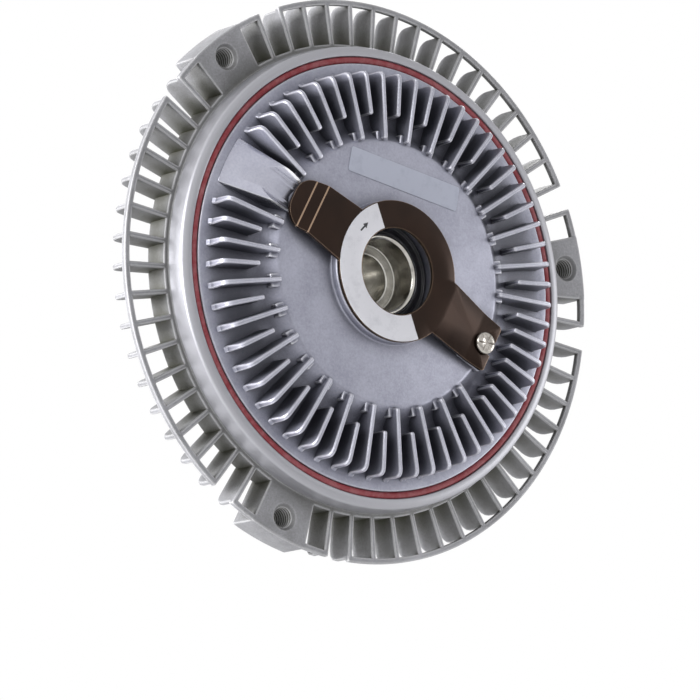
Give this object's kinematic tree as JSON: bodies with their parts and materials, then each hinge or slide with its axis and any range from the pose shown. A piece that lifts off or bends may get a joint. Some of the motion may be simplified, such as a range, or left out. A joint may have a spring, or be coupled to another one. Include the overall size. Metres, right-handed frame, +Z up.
{
  "type": "viscous fan clutch",
  "caption": "Viscous fan clutch: a finned cast housing with a vaned fan flange turns on a bearing around a screw-mounted hub, and a bimetal strip opens its oil valve.",
  "frame": {"origin": "centre of the hub's mounting face, on the axis, at the mouth of its centring recess", "axes": "the axis lies along Y, with the finned front towards -Y, +Z up and +X to the right seen from the front"},
  "size_m": [0.1921, 0.0558, 0.192],
  "materials": {
    "hub_steel": "turned, bright in the bore",
    "rotor_cast": "turned",
    "spring_steel": "black phosphate",
    "bearing_steel": "ground",
    "ball_steel": "polished",
    "cage_steel": "pressed",
    "shield_steel": "pressed",
    "housing_cast": "die-cast, sand-grey",
    "plate_steel": "cold rolled",
    "wiper_brass": "machined",
    "lever_steel": "rolled spring strip",
    "rivet_steel": "headed",
    "cover_cast": "die-cast, satin",
    "red_rubber": "moulded",
    "black_rubber": "moulded",
    "pin_steel": "ground",
    "bimetal": "dark oxide, oily gloss",
    "stud_steel": "bright, headed over",
    "white_label": "printed film, blank",
    "silver_label": "silver film, blank"
  },
  "bodies": {
    "hub": {"drive_hub": "hub_steel", "rotor_disc": "rotor_cast", "hub_retaining_ring": "spring_steel", "bearing_inner_ring": "bearing_steel"},
    "housing": {"rear_housing": "housing_cast", "front_cover": "cover_cast", "sealing_ring": "red_rubber", "partition_plate": "plate_steel", "wiper_block": "wiper_brass", "lever_rivet": "rivet_steel", "hub_seal": "black_rubber", "pin_seal": "black_rubber", "strip_stud": "stud_steel", "cover_label": "silver_label", "bearing_outer_ring": "bearing_steel", "bearing_shield_front": "shield_steel", "bearing_shield_rear": "shield_steel", "bearing_retaining_ring": "spring_steel"},
    "ball_set": {"bearing_balls": "ball_steel", "bearing_cage": "cage_steel"},
    "strip": {"bimetal_strip": "bimetal", "strip_label": "white_label"},
    "pin": {"control_pin": "pin_steel"},
    "lever": {"valve_lever": "lever_steel"}
  },
  "joints": [
    {"name": "housing_spin", "type": "hinge", "parent": "hub", "child": "housing", "pos_m": [0, 0, 0], "axis": [0, -1, 0], "continuous": true},
    {"name": "ball_roll", "type": "hinge", "parent": "hub", "child": "ball_set", "pos_m": [0, 0, 0], "axis": [0, -1, 0], "continuous": true},
    {"name": "strip_curl", "type": "hinge", "parent": "housing", "child": "strip", "pos_m": [0.03797, -0.0522, -0.02019], "axis": [0.4695, 0, 0.8829], "range_deg": [0, 1.2], "stiffness_Nm_per_rad": 5},
    {"name": "pin_lift", "type": "slide", "parent": "housing", "child": "pin", "axis": [0, -1, 0], "range_m": [0, 0.0016]},
    {"name": "valve_lift", "type": "hinge", "parent": "housing", "child": "lever", "pos_m": [-0.03968, -0.0383, -0.00859], "axis": [0.8829, 0, -0.4695], "range_deg": [0, 3.5]}
  ],
  "couplings": [
    {"joint": "ball_roll", "follows": "housing_spin", "ratio": 0.5847},
    {"joint": "pin_lift", "follows": "strip_curl", "m_per_rad": 0.074},
    {"joint": "valve_lift", "follows": "strip_curl", "ratio": 2.8237}
  ]
}
